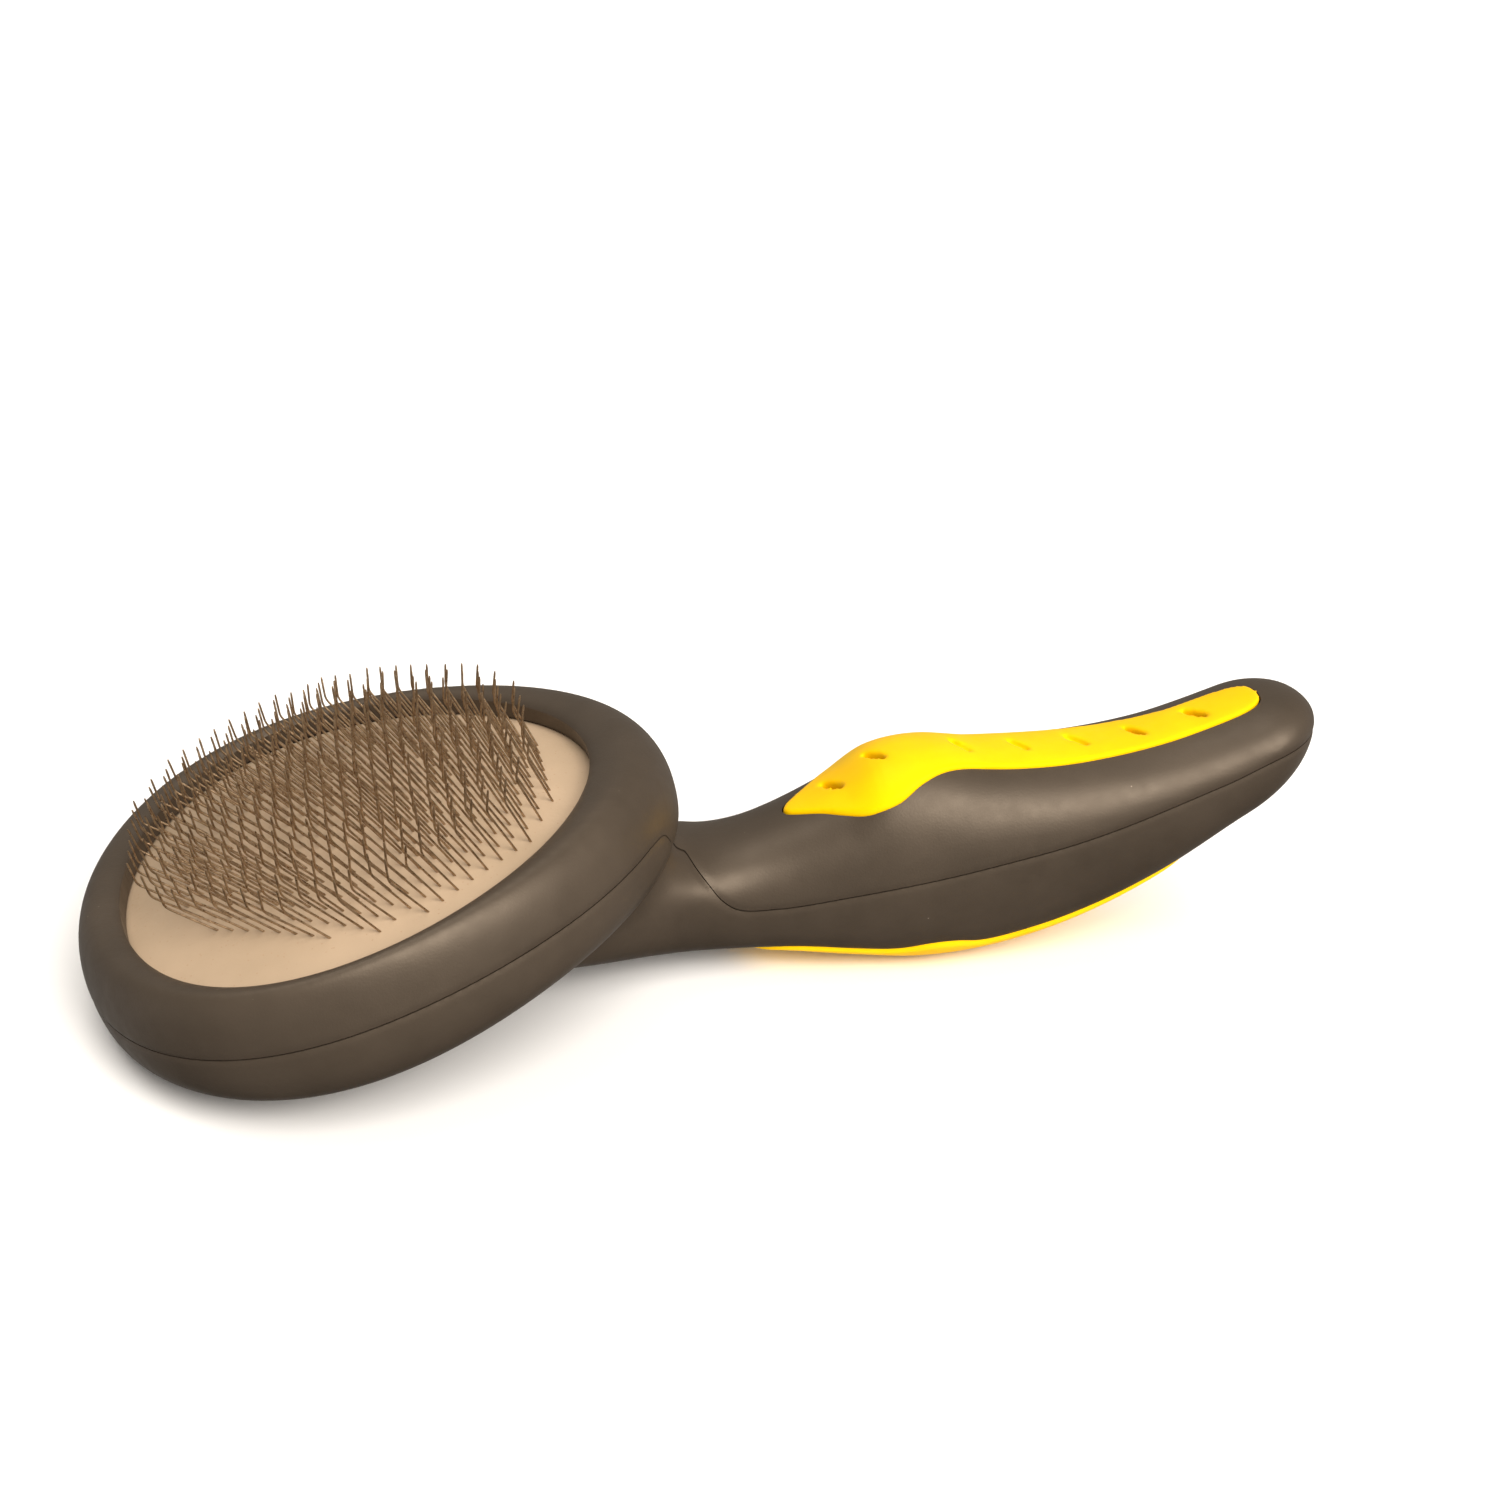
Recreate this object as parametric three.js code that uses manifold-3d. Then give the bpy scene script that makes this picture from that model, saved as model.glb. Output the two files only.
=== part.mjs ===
// Slicker brush for pets: a curved two-half handle that widens into an oval head, with rubber grips set
// into the top and the underside, and a cushioned pad that carries rows of bent steel wires.
// It lies on its back. +X runs from the head to the handle's end, +Z is up, and z = 0 is the table.

import * as THREE from "three";
import { mergeVertices } from "three/addons/utils/BufferGeometryUtils.js";
import Module from "manifold-3d";

const wasm = await Module();
wasm.setup();

// Driving dimensions, in millimetres and degrees.
const GAP = 0.3;
const WALL = 2.4;

const HEAD_TILT = 16.2;
const HEAD_HEIGHT = 26.3;
const LAY_TURN = 0.42;
const OPENING_LONG = 37;
const OPENING_WIDE = 40.5;
const OPENING_TAPER = 0.158;
const RIM_MEAN = 8;
const RIM_FRONT = 8.3;
const RIM_SIDE = 4.5;
const RIM_NECK = 11.6;
const RIM_CREST = 1.6;
const CREST_SHARE = 0.42;
const HEAD_SPLIT = -7.8;
const HEAD_DEPTH = -21.7;
const BOWL_POWER = 3.3;

const PAD_RECESS = 2.5;
const PAD_CROWN = 5;
const PAD_THICK = 1.2;
const CUSHION_BASE = -8;
const PLATE_THICK = 1.6;
const TUCK = 2.6;
const LEDGE = 2.4;

const WIRE_RADIUS = 0.24;
const WIRE_LOWER = 8.4;
const WIRE_UPPER = 3.9;
const WIRE_BACK = 28.4;
const WIRE_FAN = 0.14;
const WIRE_FORWARD = 8;
const ROW_COUNT = 25;
const ROW_PITCH = 2.33;
const WIRE_PITCH = 3.25;
const FIELD_CENTRE = 1.7;
const FIELD_LONG = 30.2;
const FIELD_WIDE = 32.8;
const CARRIER_THICK = 0.4;
const CARRIER_WIDTH = 0.8;
const CARRIER_OVERHANG = 0.6;

const HANDLE_START = 20;
const HANDLE_END = 156.9;
const HOLLOW_START = 34;
const LOFT_EASE = 1.15;
const NOSE = 12;
const SECTION_POWER = 2.3;
const GRIP_PROUD = 0.5;
const GRIP_DEPTH = 2;
const SLOT_LENGTH = 5.6;
const SLOT_WIDTH = 1.5;
const SLOT_SLANT = 0.6;

// Handle outlines as [x, value] control points, x measured from the head's centre.
const TOP_LINE = [
  [20, 26], [36, 25], [44, 24.2], [48, 22.6], [52, 21], [57, 21.2], [64, 23.2], [76, 29.2], [82, 33.8],
  [90, 35.4], [100, 34.6], [116, 34.9], [130, 37], [141, 40.6], [157, 46.4],
];
const BOTTOM_LINE = [
  [20, 8], [30, 5], [42, 2.6], [56, 1.9], [66, 1.9], [78, 0.4], [91, -0.9], [104, 0.4], [118, 4.7],
  [132, 12.2], [146, 22.4], [157, 28],
];
const WAIST_LINE = [
  [20, 15], [50, 14.4], [64, 13.2], [77, 15.8], [97, 20], [117, 24.7], [138, 32.2], [147, 36.2], [157, 38.6],
];
const WIDTH_LINE = [
  [20, 26], [34, 19.5], [46, 13.5], [56, 11.3], [66, 11.8], [78, 13.6], [92, 14.6],
  [106, 14.5], [120, 13.8], [134, 12.9], [157, 11.8],
];

// Where the two body halves meet, seen from the side: parallel to the rim around the head, then down the
// neck's side and along the handle's waist.
const NECK_SEAM = [
  [42, 30.6], [44.5, 28.4], [46.2, 24.2], [47.4, 20.8], [48.6, 19], [50, 18.6], [51.6, 18.4], [53.5, 17.3],
  [55.5, 15.3], [58, 13.6], [62, 13.2],
];
const SEAM_HANDLE_FROM = 66;
const SEAM_STEP = 6;

// Grip outlines in plan, as [x, half-width] control points.
const FINGER_OUTLINE = [
  [67.4, 0], [67.9, 1.2], [69.5, 2.6], [72.3, 4.6], [75.8, 7.3], [79.5, 9.5], [83.8, 9.9], [87.8, 8.3], [92, 6.8],
  [97, 6], [104, 6.2], [112, 6.1], [122, 5.5], [132.5, 4.9], [140, 4.7], [144.2, 4.1], [146.4, 2.5], [147, 0],
];
const THUMB_OUTLINE = [
  [61, 0], [63.5, 5.4], [67, 7.8], [74, 9.2], [84, 9.8], [90.5, 11.1], [95.5, 11.1], [101, 10], [110, 9.8],
  [121, 9.2], [131, 7.8], [137, 4.8], [140, 0],
];
const SLOTS = [75.2, 82, 96.2, 106.2, 116.2, 126.2, 136.5];

// Heights well above and below the whole brush, a reach well past its sides, and how far a cutter overshoots.
const TOP = 60;
const BELOW = -10;
const ACROSS = 70;
const OVER = 5;

const rad = THREE.MathUtils.degToRad;
const v2 = (x, y) => new THREE.Vector2(x, y);
const v3 = (x, y, z) => new THREE.Vector3(x, y, z);

// A smooth curve through [x, value] points, as a function of x.
function through(points) {
  const last = points.length - 1;
  const slope = (i) => {
    const a = points[Math.max(i - 1, 0)];
    const b = points[Math.min(i + 1, last)];
    return (b[1] - a[1]) / (b[0] - a[0]);
  };
  return (x) => {
    let i = 0;
    while (i < last - 1 && x > points[i + 1][0]) i += 1;
    const [x0, y0] = points[i];
    const [x1, y1] = points[i + 1];
    const span = x1 - x0;
    const u = THREE.MathUtils.clamp((x - x0) / span, 0, 1);
    const h = u * u * (3 - 2 * u);
    const start = u * (1 - u) * (1 - u) * span * slope(i);
    const end = u * u * (u - 1) * span * slope(i + 1);
    return y0 + (y1 - y0) * h + start + end;
  };
}

const topAt = through(TOP_LINE);
const bottomAt = through(BOTTOM_LINE);
const waistAt = through(WAIST_LINE);
const widthAt = through(WIDTH_LINE);

// A closed three.js geometry as a manifold solid, turned to face out.
function solid(geometry) {
  const bare = geometry.clone();
  bare.deleteAttribute("normal");
  bare.deleteAttribute("uv");
  const merged = mergeVertices(bare, 1e-4);
  const triVerts = new Uint32Array(merged.index.array);
  const vertProperties = new Float32Array(merged.attributes.position.array);
  const made = new wasm.Manifold(new wasm.Mesh({ numProp: 3, vertProperties, triVerts }));
  if (made.volume() > 0) return made;
  const turned = triVerts.map((_, i) => triVerts[i - (i % 3) + [0, 2, 1][i % 3]]);
  return new wasm.Manifold(new wasm.Mesh({ numProp: 3, vertProperties, triVerts: turned }));
}

function piece(name, shape, material) {
  const { vertProperties, triVerts } = shape.getMesh();
  const geometry = new THREE.BufferGeometry();
  geometry.setAttribute("position", new THREE.BufferAttribute(vertProperties, 3));
  geometry.setIndex(new THREE.BufferAttribute(triVerts, 1));
  geometry.computeVertexNormals();
  const mesh = new THREE.Mesh(geometry, material);
  mesh.name = name;
  return mesh;
}

function mapped(geometry, place) {
  const position = geometry.attributes.position;
  const point = v3(0, 0, 0);
  for (let i = 0; i < position.count; i += 1) {
    place(point.fromBufferAttribute(position, i));
    position.setXYZ(i, point.x, point.y, point.z);
  }
  return geometry;
}

function extruded(outline, depth) {
  const shape = new THREE.Shape(outline);
  return new THREE.ExtrudeGeometry(shape, { depth, bevelEnabled: false, curveSegments: 1 });
}

// The width of the rim outside the opening, in the direction with this cosine.
function rimWidth(c) {
  const end = c > 0 ? RIM_NECK : RIM_FRONT;
  return RIM_SIDE + (end - RIM_SIDE) * c * c;
}

// A solid of the head, turned from [radius, height above the face] points. The radius is the opening's
// semi-axis along X, and beyond it the rim's mean width. The opening narrows towards the handle.
function oval(profile, segments = 44) {
  const lathe = new THREE.LatheGeometry(profile.map(([a, n]) => v2(a, n)), segments);
  return solid(
    mapped(lathe, (p) => {
      const a = Math.hypot(p.x, p.z);
      const angle = Math.atan2(p.x, p.z);
      const c = Math.cos(angle);
      const s = Math.sin(angle);
      const within = Math.min(a, OPENING_LONG) / OPENING_LONG;
      const across = OPENING_WIDE * s * (1 - OPENING_TAPER * c);
      const beyond = (Math.max(a - OPENING_LONG, 0) / RIM_MEAN) * rimWidth(c);
      const outward = v2(c / OPENING_LONG, s / OPENING_WIDE).setLength(beyond);
      p.set(within * OPENING_LONG * c + outward.x, within * across + outward.y, p.y);
    }),
  );
}

// A quarter of a rounded arc between two points, leaving along Y when upright is true. A power over 2 makes
// its corner squarer.
function quarter(from, to, steps, upright, power = 2) {
  const [x0, y0] = from;
  const [x1, y1] = to;
  return Array.from({ length: steps + 1 }, (_, i) => {
    const t = ((Math.PI / 2) * i) / steps;
    const slow = 1 - Math.max(Math.cos(t), 0) ** (2 / power);
    const fast = Math.sin(t) ** (2 / power);
    return upright
      ? [x0 + (x1 - x0) * slow, y0 + (y1 - y0) * fast]
      : [x0 + (x1 - x0) * fast, y0 + (y1 - y0) * slow];
  });
}

const RIM_OUT = OPENING_LONG + RIM_MEAN;
const CREST_AT = OPENING_LONG + RIM_MEAN * CREST_SHARE;
const POCKET = OPENING_LONG + TUCK + 2 * GAP;

// The head's outside: rounded rim over the widest line, and a bowl-shaped back.
function headBody() {
  const inner = quarter([OPENING_LONG, 0], [CREST_AT, RIM_CREST], 2, true);
  const outer = quarter([CREST_AT, RIM_CREST], [RIM_OUT, HEAD_SPLIT], 4, false);
  const bowl = quarter([RIM_OUT, HEAD_SPLIT], [0, HEAD_DEPTH], 7, true, BOWL_POWER);
  return oval([[0, 0], ...inner, ...outer.slice(1), ...bowl.slice(1)]);
}

// The room inside the head: the opening, the pocket behind its lip that holds the pad, cushion and plate,
// the ledge that the plate sits on, and the hollow of the bowl.
function headRoom() {
  const lip = -PAD_RECESS + GAP;
  const shelf = CUSHION_BASE - GAP - PLATE_THICK - GAP;
  const bowl = quarter([POCKET - LEDGE, shelf - LEDGE], [0, HEAD_DEPTH + WALL], 5, true, BOWL_POWER);
  return oval([
    [0, RIM_CREST + OVER],
    [OPENING_LONG, RIM_CREST + OVER],
    [OPENING_LONG, lip],
    [POCKET, lip],
    [POCKET, shelf],
    [POCKET - LEDGE, shelf],
    ...bowl,
  ], 32);
}

// The handle as a loft: its top, bottom and side lines drawn in by inset, and rounded off at the nose.
function handleBody(inset, from, around = 24, along = 22) {
  const end = HANDLE_END - inset;
  const tube = new THREE.CylinderGeometry(1, 1, 1, around, along);
  return solid(
    mapped(tube, (p) => {
      const u = 0.5 - p.y;
      const radius = Math.hypot(p.x, p.z);
      const angle = Math.atan2(p.z, p.x);
      const x = from + (end - from) * Math.sin((u * Math.PI) / 2) ** LOFT_EASE;
      const into = THREE.MathUtils.clamp((x - HANDLE_END + NOSE) / (end - HANDLE_END + NOSE), 0, 0.998);
      const close = Math.sqrt(1 - into * into) * radius;
      const c = Math.cos(angle);
      const s = Math.sin(angle);
      const out = Math.abs(c) ** (2 / SECTION_POWER) * Math.sign(c);
      const rise = Math.abs(s) ** (2 / SECTION_POWER) * Math.sign(s);
      const waist = waistAt(x);
      const height = s > 0 ? topAt(x) - waist - inset : waist - bottomAt(x) - inset;
      p.set(x, (widthAt(x) - inset) * out * close, waist + height * rise * close);
    }),
  );
}

// Everything above the seam, from the head's split line to the handle's waist, raised by lift.
function aboveSeam(headTilt, headHeight, lift) {
  const far = -RIM_OUT - 2 * OVER;
  const rise = Math.tan(headTilt);
  const start = v2(far, headHeight + far * rise + HEAD_SPLIT / Math.cos(headTilt) + lift);
  const neck = new THREE.SplineCurve(NECK_SEAM.map(([x, z]) => v2(x, z + lift))).getPoints(18);
  const handle = [];
  for (let x = SEAM_HANDLE_FROM; x < HANDLE_END; x += SEAM_STEP) handle.push(v2(x, waistAt(x) + lift));
  const past = HANDLE_END + OVER;
  const close = [v2(past, waistAt(HANDLE_END) + lift), v2(past, TOP), v2(far, TOP)];
  const prism = extruded([start, ...neck, ...handle, ...close], 2 * ACROSS);
  return solid(prism.rotateX(Math.PI / 2).translate(0, ACROSS, 0));
}

// An upright prism over a plan outline that is symmetric about the handle, grown by margin.
function planPrism(outline, margin) {
  const first = outline[0][0];
  const last = outline[outline.length - 1][0];
  const middle = (first + last) / 2;
  const grow = (x) => middle + (x - middle) * (1 + (2 * margin) / (last - first));
  const grown = outline.map(([x, y]) => v2(grow(x), y > 0 ? y + margin : 0));
  const side = new THREE.SplineCurve(grown).getPoints(26);
  const mirrored = side.slice(1, -1).reverse().map((p) => v2(p.x, -p.y));
  return solid(extruded([...side, ...mirrored], TOP - BELOW).translate(0, 0, BELOW));
}

// A slim lens-shaped cutter, slanting across the handle, that goes through the finger grip.
function slotCutter(x) {
  const half = SLOT_LENGTH / 2;
  const edge = (side) => (t) => {
    const across = -half + SLOT_LENGTH * t;
    const bulge = 1 - (across / half) ** 2;
    return v2(x - SLOT_SLANT * across + (side * SLOT_WIDTH * bulge) / 2, across);
  };
  const steps = Array.from({ length: 7 }, (_, i) => i / 6);
  const front = steps.map(edge(1));
  const back = steps.slice(1, -1).reverse().map(edge(-1));
  return solid(extruded([...front, ...back], TOP));
}

// How far a point of the head is from its middle, 1 being the opening's edge.
function reachAt(x, y) {
  const c = x / OPENING_LONG;
  return Math.hypot(c, y / (OPENING_WIDE * (1 - OPENING_TAPER * c)));
}

// The pad's face above the rim plane.
function crownAt(reach) {
  return PAD_CROWN * (1 - reach * reach) - PAD_RECESS;
}

// The dome's profile from the middle to the edge under the lip, lowered by drop.
function crownProfile(drop) {
  return Array.from({ length: 6 }, (_, i) => {
    const a = ((OPENING_LONG + TUCK) * i) / 5;
    return [a, crownAt(a / OPENING_LONG) - drop];
  });
}

// Every wire leans back from the pad's surface, most at the head's front, then bends forward at its knee.
function wireStations(x, y) {
  const rise = v3((2 * PAD_CROWN * x) / OPENING_LONG ** 2, (2 * PAD_CROWN * y) / OPENING_WIDE ** 2, 1);
  const normal = rise.normalize();
  const along = v3(1, 0, 0).addScaledVector(normal, -normal.x).normalize();
  const upright = (angle) => normal.clone().multiplyScalar(Math.cos(angle));
  const lean = (angle) => upright(angle).addScaledVector(along, Math.sin(angle));
  const backAngle = rad(WIRE_BACK - WIRE_FAN * x);
  const back = lean(-backAngle);
  const surface = v3(x, y, crownAt(reachAt(x, y)));
  const root = surface.clone().addScaledVector(back, (GAP + CARRIER_THICK / 2) / Math.cos(backAngle));
  const knee = surface.clone().addScaledVector(back, WIRE_LOWER);
  const tip = knee.clone().addScaledVector(lean(rad(WIRE_FORWARD)), WIRE_UPPER);
  return [root, knee, tip];
}

// A thin three-sided rod through the three stations.
function wire(stations) {
  const corners = [0, 1, 2].map((i) => v2(0, WIRE_RADIUS).rotateAround(v2(0, 0), (i * 2 * Math.PI) / 3));
  const rod = new THREE.ExtrudeGeometry(new THREE.Shape(corners), { depth: 2, steps: 2, bevelEnabled: false });
  return solid(
    mapped(rod, (p) => {
      const station = stations[Math.round(p.z)];
      p.set(station.x + p.x, station.y + p.y, station.z);
    }),
  );
}

// The wires of one row stand at even steps across the head, and every second row is moved by half a step.
function rowLayout() {
  return Array.from({ length: ROW_COUNT }, (_, i) => {
    const from = (i - (ROW_COUNT - 1) / 2) * ROW_PITCH;
    const half = FIELD_WIDE * Math.sqrt(1 - (from / FIELD_LONG) ** 2);
    const offset = i % 2 ? WIRE_PITCH / 2 : 0;
    const each = Math.floor((half - offset) / WIRE_PITCH);
    const steps = Array.from({ length: each + 1 }, (_, k) => offset + k * WIRE_PITCH);
    const mirror = steps.filter((y) => y > 0).map((y) => -y);
    return { x: FIELD_CENTRE + from, ys: [...mirror, ...steps].sort((a, b) => a - b) };
  });
}

// The strip that carries a row's wires and follows the curve of the pad's face.
function carrierStrip(roots) {
  const first = roots[0];
  const last = roots[roots.length - 1];
  const strip = new THREE.BoxGeometry(CARRIER_WIDTH, 1, CARRIER_THICK, 1, 6, 1);
  return solid(
    mapped(strip, (p) => {
      const y = THREE.MathUtils.lerp(first.y - CARRIER_OVERHANG, last.y + CARRIER_OVERHANG, p.y + 0.5);
      const along = THREE.MathUtils.clamp((y - first.y) / (last.y - first.y), 0, 1) * (roots.length - 1);
      const i = Math.min(Math.floor(along), roots.length - 2);
      const root = roots[i].clone().lerp(roots[i + 1], along - i);
      p.set(root.x + p.x, y, root.z + p.z);
    }),
  );
}

function pinRow(row) {
  const wires = row.ys.map((y) => wireStations(row.x, y));
  const strip = carrierStrip(wires.map(([root]) => root));
  return wires.reduce((joined, stations) => joined.add(wire(stations)), strip);
}

const SHELL = new THREE.MeshStandardMaterial({ color: 0x574b3f, roughness: 0.45, metalness: 0 });
const RUBBER = new THREE.MeshStandardMaterial({ color: 0xfbd000, roughness: 0.5, metalness: 0 });
const SHEET = new THREE.MeshStandardMaterial({ color: 0xccb091, roughness: 0.8, metalness: 0 });
const FOAM = new THREE.MeshStandardMaterial({ color: 0x8c8478, roughness: 0.95, metalness: 0 });
const PLATE = new THREE.MeshStandardMaterial({ color: 0x35302b, roughness: 0.6, metalness: 0 });
const STEEL = new THREE.MeshStandardMaterial({ color: 0x9a7f5f, roughness: 0.35, metalness: 0.9 });

const tilt = rad(HEAD_TILT);
const onHead = (shape) => shape.rotate([0, -HEAD_TILT, 0]).translate([0, 0, HEAD_HEIGHT]);

const outside = onHead(headBody()).add(handleBody(0, HANDLE_START));
const inside = onHead(headRoom()).add(handleBody(WALL + GRIP_DEPTH, HOLLOW_START, 14, 12));
const body = outside.subtract(inside);

const upper = aboveSeam(tilt, HEAD_HEIGHT, GAP / 2);
const lower = aboveSeam(tilt, HEAD_HEIGHT, -GAP / 2);

// The grips are a layer of the handle's skin inside their outlines, and their pockets are GAP larger.
const gripLayer = handleBody(-GRIP_PROUD, HANDLE_START).subtract(handleBody(GRIP_DEPTH, HANDLE_START));
const pocketCore = handleBody(GRIP_DEPTH + GAP, HANDLE_START);
const gripPocket = (outline) => planPrism(outline, GAP).subtract(pocketCore);

const frontShell = body.intersect(upper).subtract(gripPocket(FINGER_OUTLINE));
const backShell = body.subtract(lower).subtract(gripPocket(THUMB_OUTLINE));

const fingerPlain = gripLayer.intersect(planPrism(FINGER_OUTLINE, 0)).intersect(upper);
const fingerGrip = SLOTS.reduce((shape, x) => shape.subtract(slotCutter(x)), fingerPlain);
const thumbGrip = gripLayer.intersect(planPrism(THUMB_OUTLINE, 0)).subtract(lower);

const reach = OPENING_LONG + TUCK;
const padSheet = oval([...crownProfile(0), ...crownProfile(PAD_THICK).reverse()], 36);
const cushion = oval([...crownProfile(PAD_THICK + GAP), [reach, CUSHION_BASE], [0, CUSHION_BASE]], 36);
const plateTop = CUSHION_BASE - GAP;
const plateUnder = plateTop - PLATE_THICK;
const plate = oval([[0, plateTop], [reach, plateTop], [reach, plateUnder], [0, plateUnder]], 36);

const brush = new THREE.Group();
brush.add(piece("front_shell", frontShell, SHELL));
brush.add(piece("back_shell", backShell, SHELL));
brush.add(piece("finger_grip", fingerGrip, RUBBER));
brush.add(piece("thumb_grip", thumbGrip, RUBBER));

const head = new THREE.Group();
head.rotation.y = -tilt;
head.position.z = HEAD_HEIGHT;
head.add(piece("pin_pad", padSheet, SHEET));
head.add(piece("pad_cushion", cushion, FOAM));
head.add(piece("backing_plate", plate, PLATE));
rowLayout().forEach((row, i) => {
  head.add(piece("pin_row_" + String(i + 1).padStart(2, "0"), pinRow(row), STEEL));
});
brush.add(head);

// The brush is turned until the head's back and the handle's belly both touch the table, and the origin
// goes to the middle of its length, on the table.
brush.rotation.y = rad(LAY_TURN);
const box = new THREE.Box3().setFromObject(brush, true);
brush.position.x = -(box.min.x + box.max.x) / 2;
brush.position.z = -box.min.z;

export default brush;
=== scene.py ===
"""A slicker brush lying on its back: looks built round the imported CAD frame.

Shapes are made in millimetres, in brush coordinates: x runs from the middle of the head's opening to the tip
of the handle, and z is up. The head has its own tilted coordinates. Finished pieces are laid down, in metres.
"""

import math

import bmesh
import bpy
import numpy as np
from mathutils import Matrix, Vector


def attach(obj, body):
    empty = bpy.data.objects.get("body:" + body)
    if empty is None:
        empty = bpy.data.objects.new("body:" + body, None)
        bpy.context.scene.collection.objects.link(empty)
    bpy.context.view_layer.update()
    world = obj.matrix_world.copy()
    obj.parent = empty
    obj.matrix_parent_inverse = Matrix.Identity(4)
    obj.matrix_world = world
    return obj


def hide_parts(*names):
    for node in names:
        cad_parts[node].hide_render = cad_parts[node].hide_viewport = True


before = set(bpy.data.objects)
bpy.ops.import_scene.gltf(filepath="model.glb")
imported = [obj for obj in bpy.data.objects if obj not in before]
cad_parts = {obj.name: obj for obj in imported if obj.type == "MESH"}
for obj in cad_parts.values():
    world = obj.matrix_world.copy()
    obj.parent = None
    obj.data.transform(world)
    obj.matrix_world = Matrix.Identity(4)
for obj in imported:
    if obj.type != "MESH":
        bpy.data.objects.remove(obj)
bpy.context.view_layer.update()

MM = 0.001

# The brush's driving sizes in mm, as in the CAD part but for the seam round the neck.
GAP = 0.3
WALL = 2.4

# How the brush lies, and how the head sits on it.
HEAD_TILT = math.radians(16.2)
HEAD_HEIGHT = 26.3
LAY_TURN = math.radians(0.42)
LAY_SHIFT = (-57.639, 0.0, 1.920)

# The head: opening, rim, bowl and what the bowl holds. Heights are from the rim plane.
OPENING_LONG = 37.0
OPENING_WIDE = 40.5
OPENING_TAPER = 0.158
RIM_MEAN = 8.0
RIM_FRONT = 8.3
RIM_SIDE = 4.5
RIM_NECK = 11.6
RIM_CREST = 1.6
CREST_SHARE = 0.42
HEAD_SPLIT = -7.8
HEAD_DEPTH = -21.7
BOWL_POWER = 3.3
PAD_RECESS = 2.5
PAD_CROWN = 5.0
PAD_THICK = 1.2
CUSHION_BASE = -8.0
PLATE_THICK = 1.6
TUCK = 2.6
LEDGE = 2.4

# The wires: lengths below and above the knee, leans in degrees, and the change in lean per mm along the head.
WIRE_LOWER = 8.4
WIRE_UPPER = 3.9
WIRE_BACK = 28.4
WIRE_FAN = 0.14
WIRE_FORWARD = 8.0
ROW_COUNT = 25
ROW_PITCH = 2.33
WIRE_PITCH = 3.25
FIELD_CENTRE = 1.7
FIELD_LONG = 30.2
FIELD_WIDE = 32.8

# The handle: (x, z) along its top, bottom and waist, and (x, y) along its side.
HANDLE_START = 20.0
HANDLE_END = 156.9
NOSE = 12.0
SECTION_POWER = 2.3
LOFT_EASE = 1.15
HOLLOW_START = 34.0
GRIP_PROUD = 0.5
GRIP_DEPTH = 2.0
TOP_LINE = [(20, 26), (36, 25), (44, 24.2), (48, 22.6), (52, 21), (57, 21.2), (64, 23.2), (76, 29.2),
            (82, 33.8), (90, 35.4), (100, 34.6), (116, 34.9), (130, 37), (141, 40.6), (157, 46.4)]
BOTTOM_LINE = [(20, 8), (30, 5), (42, 2.6), (56, 1.9), (66, 1.9), (78, 0.4), (91, -0.9), (104, 0.4),
               (118, 4.7), (132, 12.2), (146, 22.4), (157, 28)]
WAIST_LINE = [(20, 15), (50, 14.4), (64, 13.2), (77, 15.8), (97, 20), (117, 24.7), (138, 32.2), (147, 36.2),
              (157, 38.6)]
WIDTH_LINE = [(20, 26), (34, 19.5), (46, 13.5), (56, 11.3), (66, 11.8), (78, 13.6), (92, 14.6), (106, 14.5),
              (120, 13.8), (134, 12.9), (157, 11.8)]
# The seam's (x, z) path round the neck. It stays higher than the CAD part's seam just above the neck.
NECK_SEAM = [(42, 30.5), (44.6, 30.4), (46.2, 28.2), (47.6, 24.6), (48.8, 22.2), (49.8, 21.4), (50.7, 20.9),
             (51.9, 19.5), (53.5, 17.7), (55.6, 15.2), (57.9, 13.5), (60.2, 13), (63, 13.1)]
SEAM_HANDLE_FROM = 66.0

# The grips' half outlines from above, and the slots across the upper one.
FINGER_OUTLINE = [(67.4, 0), (67.9, 1.2), (69.5, 2.6), (72.3, 4.6), (75.8, 7.3), (79.5, 9.5), (83.8, 9.9),
                  (87.8, 8.3), (92, 6.8), (97, 6), (104, 6.2), (112, 6.1), (122, 5.5), (132.5, 4.9),
                  (140, 4.7), (144.2, 4.1), (146.4, 2.5), (147, 0)]
THUMB_OUTLINE = [(61, 0), (63.5, 5.4), (67, 7.8), (74, 9.2), (84, 9.8), (90.5, 11.1), (95.5, 11.1),
                 (101, 10), (110, 9.8), (121, 9.2), (131, 7.8), (137, 4.8), (140, 0)]
SLOTS = [75.2, 82, 96.2, 106.2, 116.2, 126.2, 136.5]
SHALLOW_SLOTS = (96.2, 106.2, 116.2)
SLOT_LENGTH = 5.6
SLOT_WIDTH = 1.5
SLOT_SLANT = 0.6

# Sizes of this model's own. Its wires are round, and thinner than the CAD part's three-sided ones.
WIRE_RADIUS = 0.175
SHALLOW_SLOT_DEPTH = 0.55
LIP_IN = 0.4
SEAM_GAP = 0.22
SHOULDER_DEPTH = 0.16
SHOULDER_WIDTH = 0.5
POCKET_MARGIN = GAP * 0.6
FOAM_BULGE = 0.35
FOAM_BASE_IN = 0.2
WIRE_ROOT = 1.0
KNEE_BEND = 0.8
TIP_LENGTH = 0.5
TIP_SHARE = 0.62
WIRE_SIDES = 8

# How much single wires differ: spread of the leans in degrees, of the sideways sway and of the upper length.
SPREAD_BACK = 1.3
SPREAD_FORWARD = 2.0
SWAY_BACK = 0.02
SWAY_FORWARD = 0.03
SPREAD_LENGTH = 0.02
FIRST_SEED = 100

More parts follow.
